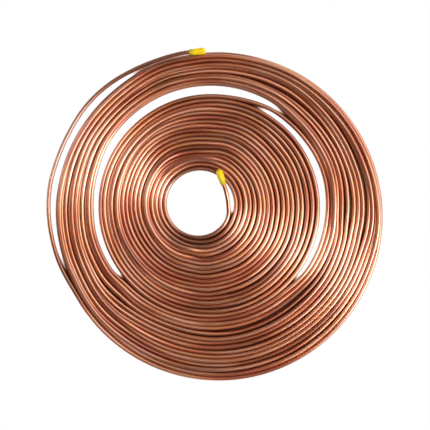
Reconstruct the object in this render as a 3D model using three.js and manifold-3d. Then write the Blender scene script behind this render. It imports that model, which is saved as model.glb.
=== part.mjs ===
// Soft copper refrigeration tube, 1/8 in outside diameter and 50 ft long, wound as a flat
// pancake coil and closed at both ends by soft vinyl caps.
//
// Millimetres, +Z up. The coil lies flat, its turns resting on z = 0, and the origin is the
// centre of its footprint. Seen from above, the tube winds outwards clockwise, so angles
// named clockwise are measured from +X towards -Y.

import * as THREE from "three";
import { mergeVertices } from "three/addons/utils/BufferGeometryUtils.js";
import Module from "manifold-3d";

const wasm = await Module();
wasm.setup();

// ---- The tube ----
const TUBE_OD = 3.175;
const TUBE_WALL = 0.762;
const END_BORE_DEPTH = 9; // the free ends are drilled this far, the turns between stay solid

// ---- The windings: an inner group and an outer group of turns ----
const COIL_BORE_RADIUS = 24.6;
const INNER_TURNS = 19;
const INNER_PITCH = 3.14; // from turn to turn, on average round the coil
const INNER_DRIFT = new THREE.Vector2(8.05, -2.6); // bore centre to the inner group's outer centre
const INNER_RIDERS = { first: 3, last: 17 }; // every second turn from first to last can ride up
const OUTER_TURNS = 14;
const OUTER_PITCH = 2.55;
const OUTER_DRIFT = new THREE.Vector2(7.05, -8.95); // the same, across the outer group
const OUTER_RIDERS = { first: 1, last: 11 };
const GROOVE_DEPTH = 0.95; // the grooves between turns, on both faces of the coil
const CREST_WIDTH = 1.27; // flat that stands for the rounded top of a turn
const INNER_GROUP_SEGMENTS = 22;
const OUTER_GROUP_SEGMENTS = 32;

// ---- The crescent gap between the two groups ----
const CRESCENT_WIDTH = 4.2; // on average, where the groups are apart
const CRESCENT_DRIFT = new THREE.Vector2(-0.6, 1.7); // across the gap, like the drifts above
const FALL_START = 30; // degrees clockwise, where the outer group's first turn falls into the gap
const FALL_SPAN = 22; // degrees that it takes to close the gap
const FALL_OVERLAP = 1.25; // how far the fallen turn is pressed against the turn inside it
const FALL_RETURN = 133; // where it starts to leave the gap again
const FALL_RETURN_SPAN = 15;

// ---- Loose turns, where a group has width to spare ----
const PINCHED_SIDE = -120; // degrees clockwise, where no turn is loose: turns are numbered from here
const STANDING_HEIGHT = 1; // how far a loose turn stands off the ground at most
const STANDING_CYCLES = 2.382; // how many times in a turn it stands up and lies down again
const FLAT_FIRST_TURNS = 5; // loose turns near the bore are stiffer and lie flatter
const FLAT_LAST_TURNS = 2; // the last turns lie flat as well

// ---- The turn that crosses the crescent gap ----
const CROSSING_START = 275; // degrees clockwise, where it leaves the inner group
const CROSSING_SPAN = 63; // degrees that it takes to join the outer group

// ---- The outer free end ----
const OUTER_END_START = 138; // degrees clockwise, where it leaves the last turn
const OUTER_END_SPAN = 30; // degrees until it lies beside the last turn
const OUTER_END_STANDOFF = 0.2; // clear space beside the last turn
const OUTER_BOW = 4.4; // how far it bows away from the coil
const OUTER_BOW_START = 155;
const OUTER_BOW_SPAN = 101;
const OUTER_CLIMB_SPAN = 32; // degrees in which it climbs up to the cap
const OUTER_CAP_MOUTH = 259.8; // where the cap's mouth is
const OUTER_CAP_ASIDE = 2.5; // how far the cap's mouth lies outside the last turn's centre line
const OUTER_CAP_LEAN = 2; // degrees by which the cap points in towards the coil

// ---- The inner free end ----
const INNER_END_START = 80; // degrees clockwise, where it leaves the first turn
const INNER_END_SPAN = 77; // degrees until it runs straight to the cap
const INNER_END_INSET = 4.6; // how far it has moved into the bore by then
const INNER_CLIMB_START = 30; // degrees clockwise, where it starts to climb
const INNER_CLIMB_SPAN = 60;
const INNER_CAP_MOUTH = new THREE.Vector2(18.3, 13.7); // from the bore's centre
const INNER_CAP_HEADING = 105; // degrees counter-clockwise, the way that the cap points

// ---- The end caps ----
const CAP_LENGTH = 12.7;
const CAP_MOUTH_OD = 4.6;
const CAP_TIP_OD = 5.2;
const CAP_TIP_ROUND = 2;
const CAP_END_WALL = 1.3;
const CAP_SEGMENTS = 20;
const FIT_CLEARANCE = 0.3; // between a cap and the tube, and between a cap and the turns under it

// ---- Swept stretches of tube ----
const SPRING_LIFT = 0.05; // the spring in it holds it this far off the ground
const JOINED_SPAN = 11; // degrees for which it lies inside the turn that it leaves or joins
const TUBE_SIDES = 8;
const SWEEP_STEP = 8;

const COPPER = new THREE.MeshStandardMaterial({ color: 0xc87850, roughness: 0.32, metalness: 1 });
const VINYL = new THREE.MeshStandardMaterial({ color: 0xf2c500, roughness: 0.45, metalness: 0 });

const QUARTER_TURN = 90;
const TUBE_RADIUS = TUBE_OD / 2;
const FREE_END_HEIGHT = TUBE_RADIUS + SPRING_LIFT;

// The two groups of windings, as rings whose inner and outer edges have centres of their own.
const innerGroup = {
  turns: INNER_TURNS,
  turnsBefore: 0,
  riders: INNER_RIDERS,
  falls: false,
  segments: INNER_GROUP_SEGMENTS,
  innerRadius: COIL_BORE_RADIUS,
  outerRadius: COIL_BORE_RADIUS + INNER_TURNS * INNER_PITCH,
  innerCentre: new THREE.Vector2(),
  outerCentre: INNER_DRIFT,
};
const crescentRadius = innerGroup.outerRadius + CRESCENT_WIDTH;
const crescentCentre = innerGroup.outerCentre.clone().add(CRESCENT_DRIFT);
const outerGroup = {
  turns: OUTER_TURNS,
  turnsBefore: INNER_TURNS,
  riders: OUTER_RIDERS,
  falls: true,
  segments: OUTER_GROUP_SEGMENTS,
  innerRadius: crescentRadius,
  outerRadius: crescentRadius + OUTER_TURNS * OUTER_PITCH,
  innerCentre: crescentCentre,
  outerCentre: crescentCentre.clone().add(OUTER_DRIFT),
};

// A point at a clockwise angle in degrees about a centre.
function clockwise(centre, radius, degrees, z) {
  const angle = THREE.MathUtils.degToRad(degrees);
  return new THREE.Vector3(centre.x + radius * Math.cos(angle), centre.y - radius * Math.sin(angle), z);
}

// 0 before start, 1 after end and an easy slope between them.
function ease(value, start, end) {
  const share = THREE.MathUtils.clamp((value - start) / (end - start), 0, 1);
  return share * share * (3 - 2 * share);
}

function toManifold(geometry) {
  geometry.deleteAttribute("normal");
  geometry.deleteAttribute("uv");
  const merged = mergeVertices(geometry, 1e-4);
  return new wasm.Manifold(
    new wasm.Mesh({
      numProp: 3,
      vertProperties: new Float32Array(merged.attributes.position.array),
      triVerts: new Uint32Array(merged.index.array),
    }),
  );
}

function toGeometry(solid) {
  const mesh = solid.getMesh();
  const geometry = new THREE.BufferGeometry();
  geometry.setAttribute("position", new THREE.BufferAttribute(mesh.vertProperties, 3));
  geometry.setIndex(new THREE.BufferAttribute(mesh.triVerts, 1));
  geometry.computeVertexNormals();
  return geometry;
}

// How far the outer group's inner edge has fallen into the crescent gap at a clockwise angle.
function fallAt(turned, away) {
  const gap = CRESCENT_WIDTH + CRESCENT_DRIFT.dot(away);
  const falling = ease(turned, FALL_START, FALL_START + FALL_SPAN);
  const returning = ease(turned, FALL_RETURN, FALL_RETURN + FALL_RETURN_SPAN);
  return (gap + FALL_OVERLAP) * (falling - returning);
}

// Where each of a group's turns lies at a clockwise angle: the foot of its centre line, with z
// the height that it has left the ground by. Where the group is too narrow for its turns to lie
// side by side, the riders climb on their neighbours. Where it has width to spare, loose turns
// stand a little proud.
function turnsAt(group, degrees) {
  const turned = THREE.MathUtils.euclideanModulo(degrees - PINCHED_SIDE, 360) + PINCHED_SIDE;
  const pairs = group.turns - 1;
  const ridingPairs = group.riders.last - group.riders.first + 2;
  const rides = (turn) => turn >= group.riders.first && turn <= group.riders.last
    && (turn - group.riders.first) % 2 === 0;

  const away = clockwise(new THREE.Vector2(), 1, degrees, 0);
  const across = group.outerCentre.clone().sub(group.innerCentre).dot(away);
  const fall = group.falls ? fallAt(turned, away) : 0;
  const even = (group.outerRadius - group.innerRadius + across + fall) / group.turns;
  const spare = (even - TUBE_OD) * pairs;
  const closest = TUBE_OD + Math.min(0, spare) / ridingPairs;
  const ridingHeight = Math.sqrt(TUBE_OD ** 2 - closest ** 2);
  const looseness = THREE.MathUtils.clamp(spare / TUBE_OD, 0, 1);

  const lastPlace = INNER_TURNS + OUTER_TURNS;
  const centre = new THREE.Vector2();
  const feet = [];
  let shift = 0;
  for (let turn = 0; turn < group.turns; turn += 1) {
    const share = (turn + 0.5) / group.turns;
    centre.lerpVectors(group.innerCentre, group.outerCentre, share);
    const edge = THREE.MathUtils.lerp(group.innerRadius - fall, group.outerRadius, share);
    const place = group.turnsBefore + turn + turned / 360;
    const springy = ease(place, 0, FLAT_FIRST_TURNS) * ease(lastPlace - place, 0, FLAT_LAST_TURNS);
    const standing = 0.5 + 0.5 * Math.sin(2 * Math.PI * STANDING_CYCLES * place);
    const height = STANDING_HEIGHT * looseness * springy * standing;
    feet.push(clockwise(centre, edge + shift, degrees, rides(turn) ? ridingHeight + height : height));
    if (spare < 0) {
      shift += (rides(turn) || rides(turn + 1) ? closest : TUBE_OD) - even;
    }
  }
  return { feet, away };
}

// One group of turns: a turned ring with a ridge for each turn on both of its faces. Each
// corner of its profile then goes to where its turn lies at that angle.
function windings(group) {
  const last = group.turns - 1;
  const corners = [{ turns: [0, 0], aside: -TUBE_RADIUS, depth: GROOVE_DEPTH }];
  for (let turn = 0; turn <= last; turn += 1) {
    corners.push({ turns: [turn, turn], aside: -CREST_WIDTH / 2, depth: 0 });
    corners.push({ turns: [turn, turn], aside: CREST_WIDTH / 2, depth: 0 });
    if (turn < last) {
      corners.push({ turns: [turn, turn + 1], aside: 0, depth: GROOVE_DEPTH });
    }
  }
  corners.push({ turns: [last, last], aside: TUBE_RADIUS, depth: GROOVE_DEPTH });

  const upper = corners.map((corner) => ({ ...corner, z: TUBE_OD - corner.depth }));
  const lower = corners.map((corner) => ({ ...corner, z: corner.depth })).reverse();
  const outline = [...upper, ...lower, upper[0]].reverse();
  const pitch = (group.outerRadius - group.innerRadius) / group.turns;
  const profile = outline.map(({ turns, aside, z }) => {
    const place = (turns[0] + turns[1]) / 2 + 0.5;
    return new THREE.Vector2(group.innerRadius + place * pitch + aside, z);
  });

  const geometry = new THREE.LatheGeometry(profile, group.segments);
  geometry.rotateX(Math.PI / 2);
  const position = geometry.attributes.position;
  const point = new THREE.Vector3();
  for (let first = 0; first < position.count; first += outline.length) {
    const angle = Math.atan2(position.getY(first), position.getX(first));
    const { feet, away } = turnsAt(group, -THREE.MathUtils.radToDeg(angle));
    outline.forEach(({ turns, aside, z }, corner) => {
      point.lerpVectors(feet[turns[0]], feet[turns[1]], 0.5).addScaledVector(away, aside);
      position.setXYZ(first + corner, point.x, point.y, point.z + z);
    });
  }
  return toManifold(geometry);
}

// A point of a turn's centre line, moved aside by a distance.
function onTurn(group, turn, degrees, aside = 0) {
  const { feet, away } = turnsAt(group, degrees);
  const height = new THREE.Vector3(0, 0, TUBE_RADIUS);
  return feet[turn].clone().addScaledVector(away, aside).add(height);
}

// A stretch of round bar along a smooth line through the points.
function sweep(points, diameter) {
  const path = new THREE.CatmullRomCurve3(points, false, "centripetal");
  const corners = [];
  for (let side = 0; side < TUBE_SIDES; side += 1) {
    const angle = (side / TUBE_SIDES) * 2 * Math.PI;
    corners.push(new THREE.Vector2(Math.cos(angle), Math.sin(angle)).multiplyScalar(diameter / 2));
  }
  const section = new THREE.Shape(corners);
  const steps = Math.ceil(path.getLength() / SWEEP_STEP);
  return toManifold(
    new THREE.ExtrudeGeometry(section, { steps, extrudePath: path, bevelEnabled: false }),
  );
}

// The turn that leaves the inner group, crosses the crescent gap and joins the outer group.
function crossingTurn() {
  const points = [];
  const joins = CROSSING_START + CROSSING_SPAN;
  for (let angle = CROSSING_START - JOINED_SPAN; angle <= joins + JOINED_SPAN; angle += 6) {
    const from = onTurn(innerGroup, innerGroup.turns - 1, angle);
    const point = from.lerp(onTurn(outerGroup, 0, angle), ease(angle, CROSSING_START, joins));
    points.push(point.setZ(point.z + SPRING_LIFT));
  }
  return sweep(points, TUBE_OD);
}

const stopInCap = CAP_LENGTH - CAP_END_WALL - FIT_CLEARANCE;

// A free end's line, with the straight stretch that its cap is pushed on.
function withCapStretch(run, mouth, heading) {
  const end = mouth.clone().addScaledVector(heading, stopInCap);
  const lead = mouth.clone().addScaledVector(heading, -TUBE_OD);
  return { line: [...run, lead, mouth, end], mouth, heading, end };
}

// The tail outside the coil: it leaves the last turn, bows away and lies beside it again, where
// its cap rides on the shoulder of the last turn and lies along it.
function outerFreeEnd() {
  const lastTurn = outerGroup.turns - 1;
  const beside = TUBE_OD + OUTER_END_STANDOFF;
  const capReach = (TUBE_OD + CAP_TIP_OD) / 2 + FIT_CLEARANCE;
  const tipAside = OUTER_CAP_ASIDE - CAP_LENGTH * Math.sin(THREE.MathUtils.degToRad(OUTER_CAP_LEAN));
  const capHeight = TUBE_RADIUS + Math.sqrt(capReach ** 2 - tipAside ** 2);
  const run = [];
  for (let angle = OUTER_END_START - JOINED_SPAN; angle < OUTER_CAP_MOUTH - 4; angle += 7) {
    const parted = ease(angle, OUTER_END_START, OUTER_END_START + OUTER_END_SPAN);
    const rise = ease(angle, OUTER_CAP_MOUTH - OUTER_CLIMB_SPAN, OUTER_CAP_MOUTH);
    const along = THREE.MathUtils.clamp((angle - OUTER_BOW_START) / OUTER_BOW_SPAN, 0, 1);
    const aside = THREE.MathUtils.lerp(beside * parted, OUTER_CAP_ASIDE, rise);
    const point = onTurn(outerGroup, lastTurn, angle, aside + OUTER_BOW * Math.sin(Math.PI * along));
    run.push(point.setZ(THREE.MathUtils.lerp(FREE_END_HEIGHT, capHeight, rise)));
  }
  const mouth = onTurn(outerGroup, lastTurn, OUTER_CAP_MOUTH, OUTER_CAP_ASIDE).setZ(capHeight);
  const halfCap = THREE.MathUtils.radToDeg(CAP_LENGTH / 2 / outerGroup.outerRadius);
  const bearing = OUTER_CAP_MOUTH + halfCap + OUTER_CAP_LEAN;
  const heading = clockwise(new THREE.Vector2(), 1, bearing + QUARTER_TURN, 0);
  return withCapStretch(run, mouth, heading);
}

// The tail inside the bore: it leaves the first turn and climbs on top of the inner turns.
function innerFreeEnd() {
  const capHeight = TUBE_OD + FIT_CLEARANCE + CAP_TIP_OD / 2;
  const run = [];
  for (let turned = -JOINED_SPAN; turned <= INNER_END_SPAN; turned += 11) {
    const inset = INNER_END_INSET * ease(turned, 0, INNER_END_SPAN);
    const angle = INNER_END_START - turned;
    const rise = ease(INNER_CLIMB_START - angle, 0, INNER_CLIMB_SPAN);
    const point = onTurn(innerGroup, 0, angle, -inset);
    run.push(point.setZ(THREE.MathUtils.lerp(FREE_END_HEIGHT, capHeight, rise)));
  }
  const mouth = new THREE.Vector3(INNER_CAP_MOUTH.x, INNER_CAP_MOUTH.y, capHeight);
  const angle = THREE.MathUtils.degToRad(INNER_CAP_HEADING);
  const heading = new THREE.Vector3(Math.cos(angle), Math.sin(angle), 0);
  return withCapStretch(run, mouth, heading);
}

// A free end as a bar, and the drilled bore in its last stretch.
function freeEndSolids(freeEnd) {
  const bar = sweep(freeEnd.line, TUBE_OD);
  const bottom = freeEnd.end.clone().addScaledVector(freeEnd.heading, -END_BORE_DEPTH);
  const past = freeEnd.end.clone().addScaledVector(freeEnd.heading, TUBE_WALL);
  return { bar, bore: sweep([bottom, past], TUBE_OD - 2 * TUBE_WALL) };
}

function copperTube(freeEnds) {
  let solid = windings(innerGroup).add(windings(outerGroup)).add(crossingTurn());
  for (const freeEnd of freeEnds) {
    const { bar, bore } = freeEndSolids(freeEnd);
    solid = solid.add(bar).subtract(bore);
  }
  const mesh = new THREE.Mesh(toGeometry(solid), COPPER);
  mesh.name = "copper_tube";
  return mesh;
}

// A dipped vinyl cap: a thimble that widens to its rounded tip.
function endCap(name, freeEnd) {
  const bore = TUBE_OD / 2 + FIT_CLEARANCE;
  const tip = CAP_TIP_OD / 2;
  const profile = [new THREE.Vector2(0, CAP_LENGTH - CAP_END_WALL)];
  profile.push(new THREE.Vector2(bore, CAP_LENGTH - CAP_END_WALL));
  profile.push(new THREE.Vector2(bore, 0));
  profile.push(new THREE.Vector2(CAP_MOUTH_OD / 2, 0));
  for (let corner = 0; corner <= 4; corner += 1) {
    const angle = (corner / 4) * (Math.PI / 2);
    profile.push(new THREE.Vector2(
      tip - CAP_TIP_ROUND * (1 - Math.cos(angle)),
      CAP_LENGTH - CAP_TIP_ROUND * (1 - Math.sin(angle)),
    ));
  }
  profile.push(new THREE.Vector2(0, CAP_LENGTH));
  const geometry = new THREE.LatheGeometry(profile, CAP_SEGMENTS);
  const mesh = new THREE.Mesh(geometry, VINYL);
  mesh.name = name;
  mesh.quaternion.setFromUnitVectors(new THREE.Vector3(0, 1, 0), freeEnd.heading);
  mesh.position.copy(freeEnd.mouth);
  return mesh;
}

const innerEnd = innerFreeEnd();
const outerEnd = outerFreeEnd();
const coil = new THREE.Group();
coil.add(copperTube([innerEnd, outerEnd]));
coil.add(endCap("inner_end_cap", innerEnd));
coil.add(endCap("outer_end_cap", outerEnd));

// The footprint's centre comes to the origin.
const footprint = new THREE.Box3().setFromObject(coil, true).getCenter(new THREE.Vector3());
coil.position.set(-footprint.x, -footprint.y, 0);
coil.updateMatrixWorld(true);

export default coil;
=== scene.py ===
"""Dresses a flat coil of soft copper tube: the wound tube, its two vinyl end caps and the studio.

The coil's form is worked out as it was wound. Each turn lies against the one inside it. Where
the coil is wide the turns lie loose and stand up a little, and where it is pinched some of them
ride up on their neighbours. Lengths are metres and +Z is up. Angles are clockwise as seen from
above, from +X towards -Y, and a turn number with its fraction is a place along the winding.
"""

import logging
import math
from dataclasses import dataclass, field
from enum import Enum

import bpy
import numpy as np
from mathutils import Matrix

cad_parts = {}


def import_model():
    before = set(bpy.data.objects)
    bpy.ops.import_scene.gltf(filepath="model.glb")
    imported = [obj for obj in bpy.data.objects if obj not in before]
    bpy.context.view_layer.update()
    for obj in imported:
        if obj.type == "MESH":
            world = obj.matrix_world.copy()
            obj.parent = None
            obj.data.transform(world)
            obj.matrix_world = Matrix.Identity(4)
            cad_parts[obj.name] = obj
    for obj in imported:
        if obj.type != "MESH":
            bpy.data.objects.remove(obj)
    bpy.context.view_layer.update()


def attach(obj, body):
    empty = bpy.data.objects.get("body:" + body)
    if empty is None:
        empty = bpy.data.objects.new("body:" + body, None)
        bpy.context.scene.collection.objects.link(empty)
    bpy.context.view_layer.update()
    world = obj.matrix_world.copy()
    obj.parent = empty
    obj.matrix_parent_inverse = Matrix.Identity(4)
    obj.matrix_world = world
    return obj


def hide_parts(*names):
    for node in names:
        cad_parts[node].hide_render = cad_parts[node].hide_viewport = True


MM = 0.001
SEAM_ANGLE = 60.0  # where turn numbers are whole
GRID = 720  # places worked out on each turn
GROOVE_RISE = 0.866  # diameters that a turn rises to lie in the groove between two others
UP = np.array([0.0, 0.0, 1.0])
WHITE = (1, 1, 1)
BODY = "root"

Range = tuple[float, float]
Spot = tuple[float, float]
Point = tuple[float, float, float]
Colour = tuple[float, float, float]
Socket = bpy.types.NodeSocket

log = logging.getLogger("copper_coil")


class Slot(Enum):
    """The record's material slots."""

    COPPER = "copper"
    VINYL = "cap_vinyl"


def ease(value: np.ndarray, start: float, end: float) -> np.ndarray:
    """Climbs smoothly from 0 at start to 1 at end.

    Args:
        value: Where to evaluate it.
        start: The value at which the climb starts.
        end: The value at which it ends.

    Returns:
        The climb, from 0 to 1.
    """
    share = np.clip((np.asarray(value, float) - start) / (end - start), 0.0, 1.0)
    return share * share * (3 - 2 * share)


def outward(degrees: np.ndarray) -> np.ndarray:
    """The direction away from the centre at clockwise angles.

    Args:
        degrees: The angles.

    Returns:
        Unit vectors in the plane, as (..., 2).
    """
    angle = np.radians(degrees)
    return np.stack([np.cos(angle), -np.sin(angle)], axis=-1)


def turn_at(turn: int, degrees: float) -> float:
    """The turn number with its fraction at a clockwise angle on a turn.

    Args:
        turn: The whole turn, counted from the seam.
        degrees: The angle.

    Returns:
        The place along the winding.
    """
    return turn + ((degrees - SEAM_ANGLE) % 360) / 360


def blur_ring(values: np.ndarray, spread: float) -> np.ndarray:
    """Blurs values that close on themselves.

    Args:
        values: One value, or row of values, for each place of the grid round a turn.
        spread: The blur's standard deviation, in places.

    Returns:
        The blurred values.
    """
    reach = np.arange(values.shape[-1])
    reach = np.minimum(reach, len(reach) - reach)
    kernel = np.exp(-0.5 * (reach / spread) ** 2)
    spectrum = np.fft.rfft(values) * np.fft.rfft(kernel / kernel.sum())
    return np.fft.irfft(spectrum, values.shape[-1])


def split_places(places: np.ndarray, count: int) -> tuple[np.ndarray, np.ndarray]:
    """Splits places along a row of values into the value before each and the way past it.

    Args:
        places: Places, counted in values from the first.
        count: How many values there are.

    Returns:
        The number of the value before each place, which is never the last one, and how far
        past it the place lies, from 0 to 1.
    """
    places = np.clip(places, 0, count - 1.001)
    before = places.astype(int)
    return before, places - before


def smooth_path(points: np.ndarray, spacing: float) -> np.ndarray:
    """Runs a smooth curve through points.

    Args:
        points: The points, as (n, 3).
        spacing: About how far apart the curve's own points come.

    Returns:
        Points of the curve, with both ends kept.
    """
    chords = np.linalg.norm(np.diff(points, axis=0), axis=1)
    knots = np.concatenate([[0], np.cumsum(np.sqrt(chords))])
    slopes = np.gradient(points, knots, axis=0)
    pieces = []
    for i in range(len(points) - 1):
        gap = knots[i + 1] - knots[i]
        count = max(2, int(chords[i] / spacing))
        t = (np.arange(count) / count)[:, None]
        pieces.append(
            (2 * t**3 - 3 * t**2 + 1) * points[i]
            + (t**3 - 2 * t**2 + t) * gap * slopes[i]
            + (3 * t**2 - 2 * t**3) * points[i + 1]
            + (t**3 - t**2) * gap * slopes[i + 1]
        )
    return np.vstack([*pieces, points[-1:]])


class Wander:
    """A smooth random function of a place along the winding, with about unit spread."""

    before = 2  # turns before turn 0 that it covers

    def __init__(self, seed: int, knots_a_turn: float, turns: int = 40) -> None:
        """Draws the random values.

        Args:
            seed: Seeds the generator, so that every run is the same.
            knots_a_turn: How many independent values there are on a turn.
            turns: How many turns it covers.
        """
        self.knots_a_turn = knots_a_turn
        self.knots = np.random.default_rng(seed).normal(size=int(turns * knots_a_turn) + 2)

    def __call__(self, turns: np.ndarray) -> np.ndarray:
        """Evaluates the function.

        Args:
            turns: Places along the winding, from turn -2 upwards.

        Returns:
            Its value at each.
        """
        places = (np.asarray(turns, float) + self.before) * self.knots_a_turn
        low, past = split_places(places, len(self.knots))
        share = ease(past, 0, 1)
        return self.knots[low] * (1 - share) + self.knots[low + 1] * share


@dataclass(frozen=True)
class Stretch:
    """A stretch from one place to another, and how strong something is on it."""

    start: float
    end: float
    strength: float


@dataclass(frozen=True)
class Stock:
    """The tube as it is sold."""

    diameter: float = 3.175 * MM
    wall: float = 0.762 * MM

    @property
    def radius(self) -> float:
        """Half the outside diameter."""
        return self.diameter / 2


@dataclass(frozen=True)
class Circle:
    """A turn's circle, and the place along the winding at which the winding lies on it."""

    centre: Spot
    radius: float
    turn: float


@dataclass(frozen=True)
class Stray:
    """A stretch where a group's first turn has fallen inwards, or its last has sprung outwards."""

    distance: float
    leaves: Range  # clockwise angles between which it leaves its circle
    returns: Range  # clockwise angles between which it comes back to it

    def at(self, degrees: np.ndarray) -> np.ndarray:
        """How far the turn has strayed from its circle.

        Args:
            degrees: Clockwise angles.

        Returns:
            The distance at each.
        """
        turned = np.asarray(degrees, float) % 360
        return self.distance * (ease(turned, *self.leaves) - ease(turned, *self.returns))


@dataclass
class TurnGroup:
    """Turns that lie side by side between two circles, wide on one side and pinched on the other.

    The first and last circles are those of the tube's centre line. comes_in and goes_out are the
    fractions of a turn over which the pair before the first turn joins and the last one leaves.
    """

    stock: Stock
    first: int
    last: int
    inside: Circle
    outside: Circle
    riders: tuple[int, ...]
    comes_in: Range
    goes_out: Range
    seed: int
    dips: tuple[Stray, ...] = ()  # where the first turn has fallen inwards
    swells: tuple[Stray, ...] = ()  # where the last turn has sprung outwards
    crowded: tuple[Stretch, ...] = ()  # clockwise angles, and the least level of riding
    crowd_fade: float = 30.0  # degrees over which a crowded stretch begins and ends
    slope: int = 76  # places over which a riding turn climbs
    perch: int = 16  # places that it stays up on either side of where it has to ride
    stride: int = 4  # places between those that are tried for either
    softening: float = 9.0  # places over which the climbs are rounded off
    unruly: float = 0.9  # how much the riding turns differ in when they climb
    whole: int = 33  # turns of the whole winding
    standing_height: float = 1.0 * MM
    tallest: float = 1.2  # of the standing height
    waves: float = 2.382  # waves of standing a turn
    wavering: float = 0.25  # how much the waves differ
    widest_gap: float = 1.5 * MM
    gap_contrast: float = 1.5  # how much the gaps between loose turns differ
    steepest: float = 0.87  # diameters of height past which neighbours get no closer
    part: np.ndarray = field(default_factory=lambda: np.arange(GRID) / GRID)

    def __post_init__(self) -> None:
        """Works out where each turn of the group has come to lie."""
        degrees = SEAM_ANGLE + 360 * self.part
        turns = self.outside.turn - self.inside.turn
        self.growth = (self.outside.radius - self.inside.radius) / turns
        self.drift = (np.array(self.outside.centre) - np.array(self.inside.centre)) / turns
        strayed = self.strayed(self.dips, degrees) + self.strayed(self.swells, degrees)
        even = self.growth + outward(degrees) @ self.drift + strayed / turns

        rows = np.arange(self.first - 1, self.last + 1)
        places = rows[:, None] + self.part
        there = np.ones((len(rows) - 1, GRID))
        there[0] = ease(self.part, *self.comes_in)
        there[-1] = 1 - ease(self.part, *self.goes_out)
        diameter = self.stock.diameter
        loose = np.clip((there * (even - diameter)).sum(0) / diameter, 0, 1)
        riding = np.isin(rows, self.riders)
        self.lift = self.ride(even, there, riding) + loose * self.stand(places)
        self.offset = self.spread(even, there, places)

    def stand(self, places: np.ndarray) -> np.ndarray:
        """How high a loose turn stands off the ground: in one wave along the winding, never even.

        Args:
            places: Places along the winding.

        Returns:
            The height at each. It dies away at both ends of the winding.
        """
        grows, dies = 5, 2  # turns over which it does so at the two ends
        springy = ease(places, 0, grows) * ease(self.whole - places, 0, dies)
        wave = 0.5 + 0.5 * np.sin(2 * math.pi * self.waves * (places + SEAM_ANGLE / 360))
        uneven = self.wavering * Wander(self.seed + 1, knots_a_turn=5)(places)
        return self.standing_height * springy * np.clip(wave + uneven, 0, self.tallest)

    def strayed(self, strays: tuple[Stray, ...], degrees: np.ndarray) -> np.ndarray:
        """How far a group's first or last turn lies from its circle.

        Args:
            strays: The stretches that are off the circle.
            degrees: Clockwise angles.

        Returns:
            The distance at each.
        """
        return sum((stray.at(degrees) for stray in strays), np.zeros(len(degrees)))

    def climbed(self, riding: np.ndarray, level: np.ndarray) -> np.ndarray:
        """How high each row is once the riding ones have climbed.

        Args:
            riding: Which rows ride.
            level: How far each has climbed at each place, where 0 or less is not at all and
                1 or more is all the way.

        Returns:
            Each row's height above the ground turns at each place.
        """
        return riding[:, None] * GROOVE_RISE * self.stock.diameter * ease(level, 0, 1)

    def ride(self, even: np.ndarray, there: np.ndarray, riding: np.ndarray) -> np.ndarray:
        """How high the turns ride where the group is too narrow for them to lie flat.

        The level that all riding rows share is raised at each place until they fit, and then
        carried on to both sides, so that a turn climbs no faster than tube bends.

        Args:
            even: The even pitch at each place of the grid.
            there: Which pairs of turns there are at each place.
            riding: Which rows ride.

        Returns:
            Each row's height above the ground turns at each place.
        """
        steps = np.abs(np.diff(riding.astype(float)))[:, None]
        rows = np.arange(len(riding))[:, None]
        eager = self.unruly * Wander(self.seed + 2, knots_a_turn=3)(rows + self.part)
        nobody, everybody, halvings = -3.0, 4.0, 30  # levels at which none and all of them ride
        low, high = np.full(GRID, nobody), np.full(GRID, everybody)
        for _ in range(halvings):
            level = (low + high) / 2
            height = self.climbed(riding, level + eager)
            pitch = np.sqrt(self.stock.diameter**2 - (np.diff(height, axis=0) * steps) ** 2)
            short = (there * (even - pitch)).sum(0) < 0
            low, high = np.where(short, level, low), np.where(short, high, level)

        slopes = range(-self.slope, self.slope + 1, self.stride)
        perches = range(-self.perch, self.perch + 1, self.stride)
        levels = [np.roll(high, shift) - abs(shift) / self.slope for shift in slopes]
        levels += [np.roll(high, shift) for shift in perches]
        level = np.max(levels, axis=0)
        degrees, fade = SEAM_ANGLE + 360 * self.part, self.crowd_fade
        far_below = 3.5  # levels, so that not even the most eager turn rides
        for crowd in self.crowded:
            inside = ease(degrees, crowd.start, crowd.start + fade)
            inside = inside - ease(degrees, crowd.end - fade, crowd.end)
            level = np.maximum(level, crowd.strength - far_below * (1 - inside))
        return blur_ring(self.climbed(riding, level + eager), self.softening)

    def spread(self, even: np.ndarray, there: np.ndarray, places: np.ndarray) -> np.ndarray:
        """Shares out the room that the turns leave, as gaps between them that are never even.

        Args:
            even: The even pitch at each place of the grid.
            there: Which pairs of turns there are at each place.
            places: Each row's places along the winding.

        Returns:
            How far outside its even place each row lies.
        """
        diameter, rounds, tiny = self.stock.diameter, 6, 1e-9
        steps = np.diff(self.lift, axis=0)
        touching = np.sqrt(diameter**2 - np.minimum(steps, self.steepest * diameter) ** 2)
        room = (there * (even - touching)).sum(0)
        propped = np.abs(steps) / (GROOVE_RISE * diameter)
        least = 0.05  # of a gap, where a turn rides on its neighbour
        weight = np.exp(self.gap_contrast * Wander(self.seed, knots_a_turn=5)(places[:-1]))
        weight *= np.clip(1 + least - propped, least, 1)
        for _ in range(rounds):
            gap = room * weight / (there * weight).sum(0)
            weight *= np.minimum(1, self.widest_gap / np.maximum(gap, tiny))
        pitch = touching + gap
        return np.vstack([np.zeros(GRID), np.cumsum(there * (pitch - even), axis=0)])

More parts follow.
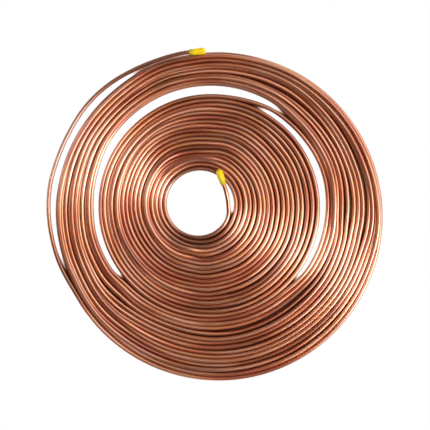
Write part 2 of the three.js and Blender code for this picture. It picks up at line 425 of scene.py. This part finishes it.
    def at(self, places: np.ndarray) -> np.ndarray:
        """The tube's centre line.

        Args:
            places: Places along the winding.

        Returns:
            Points, as (n, 3).
        """
        places = np.asarray(places, float)
        past = places - self.inside.turn
        centre = np.array(self.inside.centre) + past[:, None] * self.drift
        low, share = split_places((places - (self.first - 1)) * GRID, self.offset.size)
        offset, lift = (
            grid.ravel()[low] * (1 - share) + grid.ravel()[low + 1] * share
            for grid in (self.offset, self.lift)
        )
        degrees = SEAM_ANGLE + 360 * places
        way_out = past / (self.outside.turn - self.inside.turn)
        dip = self.strayed(self.dips, degrees) * (1 - way_out)
        swell = self.strayed(self.swells, degrees) * way_out
        radius = self.inside.radius + past * self.growth + offset - dip + swell
        flat = centre + outward(degrees) * radius[:, None]
        return np.column_stack([flat, self.stock.radius + lift])


@dataclass(frozen=True)
class FreeEnd:
    """An end of the tube: the points that it runs through, and the cap that closes it."""

    name: str
    run: tuple[Point, ...]
    mouth: Point
    heading: float  # degrees clockwise, the way that the cap points
    stop: float = 11.1 * MM  # how far the tube goes into the cap

    @property
    def direction(self) -> np.ndarray:
        """The way that the cap points, as a unit vector."""
        return np.append(outward(self.heading), 0.0)

    def points(self, lead: float) -> np.ndarray:
        """The end's points, from the winding to the bottom of the cap.

        Args:
            lead: How far before the cap's mouth the tube is already straight.

        Returns:
            Points, as (n, 3).
        """
        mouth = np.array(self.mouth)
        lengths = (-lead, 0.0, self.stop / 2, self.stop)
        straight = [mouth + self.direction * along for along in lengths]
        return np.vstack([self.run, straight])


@dataclass
class Winding:
    """The whole tube's centre line, from the end in the bore to the end outside."""

    stock: Stock
    inner: TurnGroup
    outer: TurnGroup
    bore_end: FreeEnd
    outer_end: FreeEnd
    start: float  # the place at which the bore end's tube joins the turns
    crossing: Range  # the places between which it goes over from the inner group to the outer
    leaves: float  # the place at which the tube leaves the turns
    lead: float = 1.2  # diameters of straight tube before a cap's mouth
    margin: int = 25  # places at each end of the turns that the free ends' curves take over
    stride: int = 12  # places between those that the curves are led through

    def line(self) -> np.ndarray:
        """Lays the tube's centre line.

        Returns:
            Points a millimetre or so apart, as (n, 3).
        """
        wound = np.arange(self.start, self.leaves, 1 / GRID)
        over = ease(wound, *self.crossing)[:, None]
        inner = self.inner.at(np.minimum(wound, self.crossing[1]))
        outer = self.outer.at(np.maximum(wound, self.crossing[0]))
        crossing = inner * (1 - over) + outer * over
        turns = np.where(over <= 0, inner, np.where(over >= 1, outer, crossing))
        lead = self.lead * self.stock.diameter
        first = np.vstack([turns[self.margin - 1 :: -self.stride], self.bore_end.points(lead)])
        last = np.vstack([turns[-self.margin :: self.stride], self.outer_end.points(lead)])
        middle = turns[self.margin : -self.margin]
        return np.vstack([smooth_path(first, MM)[::-1], middle, smooth_path(last, MM)])


def along_path(line: np.ndarray) -> np.ndarray:
    """The length along a line at each of its points.

    Args:
        line: Points, as (n, 3).

    Returns:
        Lengths from the first point.
    """
    return np.concatenate([[0.0], np.cumsum(np.linalg.norm(np.diff(line, axis=0), axis=1))])


def ring_faces(rings: int, sides: int) -> list[tuple[int, ...]]:
    """The faces that join rings of vertices, each ring to the next.

    Args:
        rings: How many rings there are.
        sides: How many vertices each has.

    Returns:
        The faces, ring by ring.
    """
    faces = []
    for near in range(0, (rings - 1) * sides, sides):
        for k in range(sides):
            after = near + (k + 1) % sides
            faces.append((near + k, after, after + sides, near + sides + k))
    return faces


def end_faces(rings: int, sides: int) -> tuple[tuple[int, ...], tuple[int, ...]]:
    """The faces that close the first ring and the last.

    Args:
        rings: How many rings there are.
        sides: How many vertices each has.

    Returns:
        The first ring's face and the last one's, which face away from the rings between them.
    """
    return tuple(range(sides))[::-1], tuple(range((rings - 1) * sides, rings * sides))


def make_object(
    name: str, vertices: np.ndarray, faces: list[tuple[int, ...]], node: str
) -> bpy.types.Object:
    """Makes a smooth piece that stands for a node of the frame.

    Args:
        name: The piece's name.
        vertices: Its vertices, as (n, 3).
        faces: Its faces.
        node: The node that it stands for.

    Returns:
        The new object.
    """
    mesh = bpy.data.meshes.new(name)
    mesh.from_pydata(vertices.tolist(), [], faces)
    mesh.polygons.foreach_set("use_smooth", np.ones(len(mesh.polygons), bool))
    mesh.update()
    piece = bpy.data.objects.new(name, mesh)
    bpy.context.scene.collection.objects.link(piece)
    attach(piece, BODY)
    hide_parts(node)
    return piece


def store_vectors(mesh: bpy.types.Mesh, name: str, vectors: np.ndarray) -> None:
    """Stores a vector with each vertex, for a finish to read.

    Args:
        mesh: The mesh.
        name: The name that the finish reads them by.
        vectors: The vectors, as (n, 3).
    """
    attribute = mesh.attributes.new(name, "FLOAT_VECTOR", "POINT")
    attribute.data.foreach_set("vector", vectors.astype(np.float32).ravel())


@dataclass
class TubePiece:
    """The tube's skin: one mesh from end to end."""

    stock: Stock
    winding: Winding
    sides: int = 16
    finest_step: float = 2.1 * MM  # between rings in the tightest bends
    tightest: float = 25 * MM  # the distance from the centre up to which bends count as such
    strips: int = 40  # that the skin is laid out flat in
    end_depth: float = 4 * MM  # of the open bore at both ends

    def build(self, finish: "Finish") -> bpy.types.Object:
        """Builds the tube.

        Args:
            finish: What it is made of.

        Returns:
            The new piece.
        """
        line = self.resampled(self.winding.line())
        length = along_path(line)
        log.info("winding: %.3f m of tube", length[-1])
        angles = (np.arange(self.sides) + 0.5) / self.sides * 2 * math.pi - math.pi / 2
        across = np.stack([np.cos(angles), np.sin(angles)], axis=-1)
        tangent = np.gradient(line, axis=0)
        tangent /= np.linalg.norm(tangent, axis=1, keepdims=True)
        side = np.cross(tangent, UP)
        side /= np.linalg.norm(side, axis=1, keepdims=True)
        up = np.cross(side, tangent)
        radial = across[None, :, :1] * side[:, None] + across[None, :, 1:] * up[:, None]

        bore = self.stock.radius - self.stock.wall
        rings = [(0, self.end_depth, bore), (0, 0.0, bore)]  # point of the line, shift and radius
        rings += [(i, 0.0, self.stock.radius) for i in range(len(line))]
        rings += [(-1, 0.0, bore), (-1, -self.end_depth, bore)]
        vertices = [line[i] + tangent[i] * shift + radial[i] * size for i, shift, size in rings]
        faces = [*ring_faces(len(rings), self.sides), *end_faces(len(rings), self.sides)]
        piece = make_object("wound_tube", np.vstack(vertices), faces, "copper_tube")

        where = np.array([length[i] + shift for i, shift, _ in rings])
        sizes = np.array([size for _, _, size in rings])
        straight = (sizes[:, None, None] * across).reshape(-1, 2)
        straight = np.column_stack([np.repeat(where, self.sides), straight])
        store_vectors(piece.data, "straight_tube", straight)
        self.unwrap(piece.data, where)
        piece.data.materials.append(finish.material())
        return piece

    def resampled(self, line: np.ndarray) -> np.ndarray:
        """Spreads the line's points so that each bend is as round as the others.

        Args:
            line: The centre line.

        Returns:
            Fewer points of it, further apart on the wide turns.
        """
        length = along_path(line)
        reach = np.maximum(np.hypot(line[:, 0], line[:, 1]), self.tightest)
        density = 1 / (self.finest_step * np.sqrt(reach / self.tightest))
        steps = (density[1:] + density[:-1]) / 2 * np.diff(length)
        count = np.concatenate([[0], np.cumsum(steps)])
        wanted = np.linspace(0, count[-1], int(count[-1]))
        at = np.interp(wanted, count, length)
        return np.column_stack([np.interp(at, length, line[:, axis]) for axis in range(3)])

    def unwrap(self, mesh: bpy.types.Mesh, where: np.ndarray) -> None:
        """Lays the skin out flat in strips, one above the other.

        Args:
            mesh: The tube's mesh.
            where: The length along the tube at each ring.
        """
        ring, spoke = np.divmod(np.arange((len(where) - 1) * self.sides), self.sides)
        span = where.max() / self.strips
        strip = np.clip((where[ring] / span).astype(int), 0, self.strips - 1)
        longest = span * 1.02  # so that a face across a strip's end still fits on it
        low = (where[ring] - strip * span) / longest
        high = (where[ring + 1] - strip * span) / longest
        left, right = spoke / self.sides, (spoke + 1) / self.sides
        corners = np.stack([low, left, low, right, high, right, high, left], axis=-1)
        corners = corners.reshape(-1, 4, 2)
        corners[..., 0] = np.clip(corners[..., 0], 0, 1)
        margin, width = 0.04, 0.92  # shares of a strip: the space below the skin, and the skin
        corners[..., 1] = (strip[:, None] + margin + width * corners[..., 1]) / self.strips
        layout = np.zeros((len(mesh.loops), 2))
        layout[: corners.size // 2] = corners.reshape(-1, 2)
        layer = mesh.uv_layers.new(name="OFBake")
        layer.data.foreach_set("uv", layout.astype(np.float32).ravel())


@dataclass
class CapPiece:
    """A dipped vinyl cap: a thimble that widens to its rounded tip, with a rolled lip."""

    end: FreeEnd
    stock: Stock
    length: float = 12.65 * MM
    mouth: float = 4.2 * MM
    tip: float = 5.15 * MM
    rounding: float = 2.3 * MM
    clearance: float = 0.05 * MM  # round the tube
    lining: float = 6 * MM  # how deep inside the mouth the skin begins
    roll: float = 0.12 * MM  # how much the lip is rounded off
    swell: Range = (-0.1, 0.75)  # shares of the barrel between which it widens
    sides: int = 48

    def outline(self) -> list[tuple[float, float]]:
        """Runs from inside the bore, round the lip and along the barrel to the middle of the tip.

        Returns:
            How far from the mouth along the cap, and how far from its axis, each point lies.
        """
        bore = self.stock.radius + self.clearance
        lip, tip, corner = self.mouth / 2, self.tip / 2, self.rounding
        barrel, flat = self.length - corner, tip - corner
        outline = [(self.lining, bore), (0.4 * MM, bore), (0.05 * MM, bore + self.roll)]
        outline += [(0.0, (bore + lip) / 2), (0.06 * MM, lip - self.roll), (0.3 * MM, lip)]
        for share in np.linspace(0.06, 1, 15):
            outline.append((share * barrel, lip + (tip - lip) * float(ease(share, *self.swell))))
        for angle in np.linspace(0, math.pi / 2, 9)[1:]:
            along = self.length - corner * (1 - math.sin(angle))
            outline.append((along, tip - corner * (1 - math.cos(angle))))
        return outline + [(self.length, flat * share) for share in (0.7, 0.35, 0.02)]

    def build(self, finish: "Finish") -> bpy.types.Object:
        """Builds the cap.

        Args:
            finish: What it is made of.

        Returns:
            The new piece.
        """
        name, outline, mouth = self.end.name, self.outline(), np.array(self.end.mouth)
        across = np.cross(self.end.direction, UP)
        angles = np.arange(self.sides) / self.sides * 2 * math.pi
        radial = np.cos(angles)[:, None] * across + np.sin(angles)[:, None] * UP
        rings = [mouth + self.end.direction * along + radial * reach for along, reach in outline]
        first, last = end_faces(len(rings), self.sides)
        faces = [*ring_faces(len(rings), self.sides), last, first]
        piece = make_object(name + "_dipped", np.vstack(rings), faces, name)
        straight = np.array([(along, reach, 0.0) for along, reach in outline])
        store_vectors(piece.data, "straight_cap", straight.repeat(self.sides, axis=0))
        piece.data.materials.append(finish.material())
        return piece


class NodeGraph:
    """Builds the nodes of a material or a world with short calls."""

    def __init__(self, data: bpy.types.Material | bpy.types.World) -> None:
        """Starts with an empty node tree.

        Args:
            data: The material or world.
        """
        self.data = data
        self.data.use_nodes = True
        self.tree = self.data.node_tree
        self.tree.nodes.clear()

    def add(self, kind: str, inputs: dict | None = None, **settings: object) -> bpy.types.Node:
        """Adds a node.

        Args:
            kind: The node's type.
            inputs: Values or output sockets for its inputs, by name or place.
            **settings: The node's own properties.

        Returns:
            The node.
        """
        node = self.tree.nodes.new(kind)
        for key, value in settings.items():
            setattr(node, key, value)
        for key, value in (inputs or {}).items():
            if isinstance(value, Socket):
                self.tree.links.new(value, node.inputs[key])
            else:
                node.inputs[key].default_value = value
        return node

    def math(self, operation: str, *values: float | Socket) -> Socket:
        """Does a sum.

        Args:
            operation: The node's name for it.
            *values: What it works on.

        Returns:
            The result.
        """
        return self.add("ShaderNodeMath", dict(enumerate(values)), operation=operation).outputs[0]

    def axes(self, vector: Socket) -> bpy.types.NodeOutputs:
        """The parts of a vector, by the names X, Y and Z."""
        return self.add("ShaderNodeSeparateXYZ", {0: vector}).outputs

    def stored(self, name: str) -> Socket:
        """The vector that the piece stores under a name."""
        return self.add("ShaderNodeAttribute", attribute_name=name).outputs["Vector"]

    def noise(self, place: Socket, scale: Point, detail: float, rough: float = 0.55) -> Socket:
        """Noise with its own scale along each axis.

        Args:
            place: Where to evaluate it.
            scale: Features a metre along each axis.
            detail: The noise's octaves.
            rough: The weight of the finer octaves.

        Returns:
            The noise's value, from 0 to 1.
        """
        moved = self.add("ShaderNodeVectorMath", {0: place, 1: scale}, operation="MULTIPLY")
        inputs = {"Vector": moved.outputs[0], "Scale": 1.0, "Detail": detail, "Roughness": rough}
        return self.add("ShaderNodeTexNoise", inputs).outputs[0]

    def ramp(self, value: Socket, stops: list[tuple[float, Colour]]) -> Socket:
        """Turns a value into a colour.

        Args:
            value: The value.
            stops: Places from 0 to 1 with their colours.

        Returns:
            The colour.
        """
        node = self.add("ShaderNodeValToRGB", {0: value})
        elements = node.color_ramp.elements
        while len(elements) < len(stops):
            elements.new(0.5)
        for element, (place, colour) in zip(elements, stops):
            element.position = place
            element.color = (*colour, 1.0)
        return node.outputs[0]

    def span(self, value: Socket, source: Range, target: Range) -> Socket:
        """Maps a value from one range to another.

        Args:
            value: The value.
            source: The range that it comes from.
            target: The range that it goes to, which the result doesn't leave.

        Returns:
            The mapped value.
        """
        inputs = dict(enumerate((value, *source, *target)))
        return self.add("ShaderNodeMapRange", inputs).outputs[0]

    def mix(self, share: Socket, one: object, other: object, blend: str = "MIX") -> Socket:
        """Mixes two colours.

        Args:
            share: How much of the other there is.
            one: A colour or a socket.
            other: A colour or a socket.
            blend: How they mix.

        Returns:
            The mixed colour.
        """
        inputs = {0: share, 6: one, 7: other}
        node = self.add("ShaderNodeMix", inputs, data_type="RGBA", blend_type=blend)
        return node.outputs[2]

    def surface(self, shader: bpy.types.Node) -> bpy.types.Material:
        """Ends the material.

        Args:
            shader: The node whose first output its surface shows.

        Returns:
            The material.
        """
        self.add("ShaderNodeOutputMaterial", {"Surface": shader.outputs[0]})
        return self.data


class Finish:
    """Something that a piece can be made of."""

    def material(self) -> bpy.types.Material:
        """Makes the material.

        Returns:
            The material.
        """
        raise NotImplementedError


@dataclass(frozen=True)
class DrawnCopper(Finish):
    """Soft copper tube, drawn and annealed, a little tarnished in places, with painted shade on its
    sides and on some stretches of the turns.
    """

    pink: Colour = (0.93, 0.44, 0.29)
    orange: Colour = (0.91, 0.37, 0.155)
    red: Colour = (0.70, 0.19, 0.09)
    brown: Colour = (0.45, 0.14, 0.055)
    # tarnish in blotches, and also the colour of the painted shade on the darkened stretches
    tarnish_and_shade: Colour = (0.20, 0.055, 0.022)
    dull: Colour = (0.68, 0.51, 0.41)  # what is left of the colour where whole turns are dulled
    painted_flank_shade: Colour = (0.20, 0.042, 0.014)  # painted shade on each tube's sides and underside, darkest where turns lie against each other
    darkened_stretches: tuple[Stretch, ...] = (  # painted shade on stretches of the innermost turns, and a darker stretch near the outer end, in metres along the tube
        Stretch(0.036, 0.086, 0.6),
        Stretch(0.11, 0.18, 0.7),
        Stretch(0.21, 0.26, 0.5),
        Stretch(0.40, 0.46, 0.5),
        Stretch(15.60, 15.80, 0.7),
    )

    def material(self) -> bpy.types.Material:
        """Makes the material.

        Returns:
            The material.
        """
        graph = NodeGraph(bpy.data.materials.new("drawn_copper"))
        place = graph.stored("straight_tube")
        parts = graph.axes(place)  # X is the length along the tube, and Z the height above its axis
        tone = graph.noise(place, (7.0, 60, 60), 2, 0.7)
        stops = [(0.35, self.brown), (0.42, self.red), (0.47, self.orange),
                 (0.52, self.pink), (0.57, self.orange), (0.62, self.red)]
        colour = graph.ramp(tone, stops)

        blotch = graph.noise(place, (22, 150, 150), 3, 0.5)
        blotch = graph.span(blotch, (0.58, 0.8), (0, 0.6))
        colour = graph.mix(blotch, colour, (*self.tarnish_and_shade, 1))
        whole_turns = graph.noise(place, (2.6, 0, 0), 1)
        whole_turns = graph.span(whole_turns, (0.36, 0.62), (0.75, 0))
        colour = graph.mix(whole_turns, colour, (*self.dull, 1), "MULTIPLY")
        # painted shade: darkens each tube from about a millimetre above its axis downwards
        painted_flank_shade = graph.span(parts["Z"], (0.1 * MM, 1.05 * MM), (0.7, 0))
        colour = graph.mix(painted_flank_shade, colour, (*self.painted_flank_shade, 1))
        # painted shade: each darkened stretch fades into the tarnish colour
        for darkening in self.darkened_stretches:
            middle, reach = (darkening.start + darkening.end) / 2, (darkening.end - darkening.start) / 2
            away = graph.math("ABSOLUTE", graph.math("SUBTRACT", parts["X"], middle))
            share = graph.span(away, (0.6 * reach, 1.4 * reach), (darkening.strength, 0))
            colour = graph.mix(share, colour, (*self.tarnish_and_shade, 1))

        rough = graph.span(graph.noise(place, (10, 120, 120), 2), (0.3, 0.7), (0.30, 0.48))
        inputs = {"Base Color": colour, "Roughness": rough, "Metallic": 1.0,
                  "Coat Weight": 0.9, "Coat IOR": 1.95, "Coat Roughness": 0.2}
        return graph.surface(graph.add("ShaderNodeBsdfPrincipled", inputs))


@dataclass(frozen=True)
class DippedVinyl(Finish):
    """Soft yellow vinyl with a faint waviness from dipping."""

    colour: Colour = (0.97, 0.72, 0.005)
    shade: Colour = (0.88, 0.58, 0.004)
    thin: Colour = (0.50, 0.33, 0.003)  # over the copper near the lip
    thin_length: Range = (0.5 * MM, 4.5 * MM)  # from the mouth, where it is thinnest and thick
    wave_height: float = 0.3 * MM

    def material(self) -> bpy.types.Material:
        """Makes the material.

        Returns:
            The material.
        """
        graph = NodeGraph(bpy.data.materials.new("dipped_vinyl"))
        place = graph.add("ShaderNodeTexCoord").outputs["Object"]
        cloud = graph.span(graph.noise(place, (260, 260, 260), 3), (0.35, 0.7), (0, 1))
        colour = graph.mix(cloud, (*self.colour, 1), (*self.shade, 1))
        along = graph.axes(graph.stored("straight_cap"))["X"]
        thin = graph.span(along, self.thin_length, (0.75, 0))
        colour = graph.mix(thin, colour, (*self.thin, 1))
        rough = graph.span(graph.noise(place, (900, 900, 900), 2), (0.3, 0.7), (0.34, 0.5))
        wave = graph.noise(place, (420, 420, 420), 2)
        inputs = {"Height": wave, "Strength": 0.3, "Distance": self.wave_height}
        bump = graph.add("ShaderNodeBump", inputs)
        inputs = {"Base Color": colour, "Roughness": rough, "Normal": bump.outputs[0],
                  "Subsurface Weight": 0.08, "Subsurface Scale": 0.002, "Specular IOR Level": 0.4}
        return graph.surface(graph.add("ShaderNodeBsdfPrincipled", inputs))


@dataclass(frozen=True)
class PaleFloor(Finish):
    """A white floor with a painted shadow of what stands on it, deepest in narrow gaps, and a
    painted warm bounce from the copper.
    """

    shadow_reach: float = 3 * MM
    shadow: Colour = (0.035, 0.008, 0.003)
    bounce: Colour = (0.60, 0.34, 0.23)  # painted warm bounce light from the copper beside it
    open_sky: Range = (0.43, 0.52)  # how much there is of it in full shadow, and in none
    lit: Colour = (0.93, 0.93, 0.93)  # its colour as a thing that throws light back

    def material(self) -> bpy.types.Material:
        """Makes the material.

        Returns:
            The material.
        """
        graph = NodeGraph(bpy.data.materials.new("pale_floor"))
        rays = graph.add("ShaderNodeLightPath").outputs
        seen = graph.math("MAXIMUM", rays["Is Camera Ray"], rays["Is Glossy Ray"])
        seen = graph.math("MAXIMUM", seen, rays["Is Transmission Ray"])
        plain = graph.add("ShaderNodeBsdfDiffuse", {"Color": (*self.lit, 1)})
        inputs = {"Distance": self.shadow_reach}
        # the shadow and its warm bounce are painted into the floor's emission from how much sky is
        # open over each point
        around = graph.add("ShaderNodeAmbientOcclusion", inputs, samples=64).outputs["AO"]
        shade = graph.span(around, self.open_sky, (0, 1))
        colour = graph.ramp(shade, [(0, self.shadow), (0.5, self.bounce), (1, WHITE)])
        white = graph.add("ShaderNodeEmission", {"Color": colour})
        inputs = {0: seen, 1: plain.outputs[0], 2: white.outputs[0]}
        return graph.surface(graph.add("ShaderNodeMixShader", inputs))


@dataclass(frozen=True)
class Glow:
    """A soft patch of light in the sky of the studio."""

    heading: float  # degrees clockwise
    elevation: float
    core: float  # degrees from its middle to where it starts to fade
    edge: float  # degrees from its middle to where it has faded
    strength: float

    @property
    def direction(self) -> tuple[float, float, float]:
        """The way to its middle, as a unit vector."""
        rise = math.radians(self.elevation)
        return (*(outward(self.heading) * math.cos(rise)), math.sin(rise))


@dataclass(frozen=True)
class Studio:
    """The floor, the light and the camera."""

    plain_light: float = 0.01
    glows: tuple[Glow, ...] = (
        Glow(heading=22, elevation=56, core=4, edge=15, strength=10.6),
        Glow(heading=22, elevation=38, core=4, edge=15, strength=8.2),
        Glow(heading=22, elevation=20, core=4, edge=15, strength=3.0),
        Glow(heading=202, elevation=48, core=4, edge=14.5, strength=5.6),
        Glow(heading=0, elevation=52, core=8, edge=44, strength=0.75),
        Glow(heading=-38, elevation=47, core=3, edge=20, strength=1.7),
        Glow(heading=-52, elevation=50, core=5, edge=40, strength=0.38),
    )
    centre: Spot = (0.62 * MM, -0.49 * MM)  # what the camera hangs above
    view_width: float = 325.1 * MM
    camera_height: float = 1.6
    floor_reach: float = 4.0
    floor_bend: float = 0.8  # how far it curves outwards and up
    backdrop_height: float = 1.1
    floor_drop: float = 0.02 * MM  # below what stands on it
    sides: int = 96  # of the round floor

    def build(self) -> None:
        """Builds everything that isn't the object."""
        self.floor()
        self.world()
        self.camera()

    def floor(self) -> None:
        """Lays the floor, which curves up into a backdrop all round."""
        reach, bend = self.floor_reach, self.floor_bend
        outline = [(reach, 0.0)]
        for turn in np.linspace(0.2, math.pi / 2, 8):
            outline.append((reach + bend * math.sin(turn), bend * (1 - math.cos(turn))))
        outline.append((reach + bend, self.backdrop_height))
        angles = np.arange(self.sides) / self.sides * 2 * math.pi
        vertices = [(r * math.cos(a), r * math.sin(a), z) for r, z in outline for a in angles]
        faces = [tuple(range(self.sides)), *ring_faces(len(outline), self.sides)]
        mesh = bpy.data.meshes.new("floor")
        mesh.from_pydata(vertices, [], faces)
        mesh.materials.append(PaleFloor().material())
        floor = bpy.data.objects.new("floor", mesh)
        bpy.context.scene.collection.objects.link(floor)
        floor.location.z = -self.floor_drop

    def world(self) -> None:
        """Makes the light: a plain level all round, and the soft glows on it."""
        world = bpy.data.worlds.new("studio")
        bpy.context.scene.world = world
        graph = NodeGraph(world)
        direction = graph.add("ShaderNodeTexCoord").outputs["Generated"]
        total = self.plain_light
        for glow in self.glows:
            inputs = {0: direction, 1: glow.direction}
            facing = graph.add("ShaderNodeVectorMath", inputs, operation="DOT_PRODUCT")
            inputs = {"Value": facing.outputs["Value"],
                      "From Min": math.cos(math.radians(glow.edge)),
                      "From Max": math.cos(math.radians(glow.core)),
                      "To Max": glow.strength}
            level = graph.add("ShaderNodeMapRange", inputs, interpolation_type="SMOOTHSTEP")
            total = graph.math("ADD", level.outputs["Result"], total)
        inputs = {"Color": (*WHITE, 1), "Strength": total}
        background = graph.add("ShaderNodeBackground", inputs)
        graph.add("ShaderNodeOutputWorld", {"Surface": background.outputs[0]})

    def camera(self) -> None:
        """Hangs the camera straight above."""
        data = bpy.data.cameras.new("camera")
        data.lens = data.sensor_width * self.camera_height / self.view_width
        camera = bpy.data.objects.new("camera", data)
        bpy.context.scene.collection.objects.link(camera)
        camera.location = (*self.centre, self.camera_height)
        bpy.context.scene.camera = camera


def climbing_run(
    centre: Spot, places: list[tuple[float, float]], heights: Range, climb: Range
) -> tuple[Point, ...]:
    """Points round a centre that climb from one height to another.

    Args:
        centre: The centre.
        places: The clockwise angle and the radius, in millimetres, of each.
        heights: The height before the climb and the one after it.
        climb: The angles at which it starts and ends.

    Returns:
        The points.
    """
    low, high = heights
    return tuple(
        (*(np.array(centre) + outward(angle) * (radius * MM)),
         low + (high - low) * float(ease(angle, *climb)))
        for angle, radius in places
    )


def wound_coil(stock: Stock) -> Winding:
    """Describes how the coil is wound.

    Args:
        stock: The tube.

    Returns:
        The winding.
    """
    bore = (-10.98 * MM, 8.21 * MM)  # the middle of the open centre
    around = (3.62 * MM, -1.15 * MM)  # the middle of the last turn
    ground = stock.radius + 0.06 * MM  # height of a tail that lies on the floor
    inner = TurnGroup(
        stock, first=0, last=18, seed=11,
        inside=Circle((-11.28 * MM, 7.71 * MM), 26.6 * MM, 0.5),
        outside=Circle((-2.93 * MM, 5.61 * MM), 82.5 * MM, turn_at(18, 292) - 0.5),
        riders=tuple(range(3, 18, 2)), comes_in=(0.86, 0.99), goes_out=(0.66, 0.76),
        widest_gap=0.8 * MM,
    )
    outer = TurnGroup(
        stock, first=19, last=32, seed=23,
        inside=Circle((-3.13 * MM, 7.75 * MM), 90.3 * MM, 19.264),
        outside=Circle(around, 121.85 * MM, turn_at(32, 155) - 0.5),
        riders=tuple(range(20, 31, 2)), comes_in=(0.66, 0.76), goes_out=(0.26, 0.30),
        dips=(
            Stray(2.1 * MM, (30, 52), (135, 148)),
            Stray(0.9 * MM, (162, 180), (194, 212)),
            Stray(1.7 * MM, (298, 316), (322, 350)),
        ),
        swells=(
            Stray(1.0 * MM, (165, 185), (245, 262)),
            Stray(0.85 * MM, (236, 252), (262, 290)),
            Stray(0.5 * MM, (230, 246), (250, 262)),
        ),
        crowded=(Stretch(90, 170, 0.2), Stretch(280, 395, 0.2)),
    )

    on_turns = 6.075 * MM  # height of the inner cap's axis, on top of the turns
    bore_tail = [(45, 24.7), (31, 24.0), (20, 23.2), (3, 21.6), (-13, 21.3)]
    bore_end = FreeEnd(
        "inner_end_cap",
        run=climbing_run(bore, bore_tail, (ground, on_turns), climb=(30, -30)),
        mouth=(7.318 * MM, 21.912 * MM, on_turns), heading=-109.0,
    )
    on_edge = 5.576 * MM  # height of the outer cap's axis, against the last turns
    outer_tail = [(162, 125.4), (170, 126.9), (180, 128.6), (190, 129.7), (200, 129.4),
                  (210, 129.6), (220, 130.3), (230, 129.5), (240, 127.6), (250, 126.2)]
    outer_end = FreeEnd(
        "outer_end_cap",
        run=climbing_run(around, outer_tail, (ground, on_edge), climb=(228, 260)),
        mouth=(-18.938 * MM, 122.085 * MM, on_edge), heading=-5.27,
    )
    return Winding(
        stock, inner, outer, bore_end, outer_end,
        start=0.0, crossing=(turn_at(18, 275), turn_at(18, 338)), leaves=turn_at(32, 152),
    )


def main() -> None:
    """Builds the coil on the loaded frame and sets it in the studio."""
    logging.basicConfig(level=logging.INFO, format="%(message)s")
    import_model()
    bpy.context.scene.view_settings.view_transform = "Standard"

    stock = Stock()
    winding = wound_coil(stock)
    pieces = [TubePiece(stock, winding).build(DrawnCopper())]
    for end in (winding.bore_end, winding.outer_end):
        pieces.append(CapPiece(end, stock).build(DippedVinyl()))
    for piece in pieces:
        log.info("%s: %d faces", piece.name, len(piece.data.polygons))
    Studio().build()


if __name__ == "__main__":
    main()
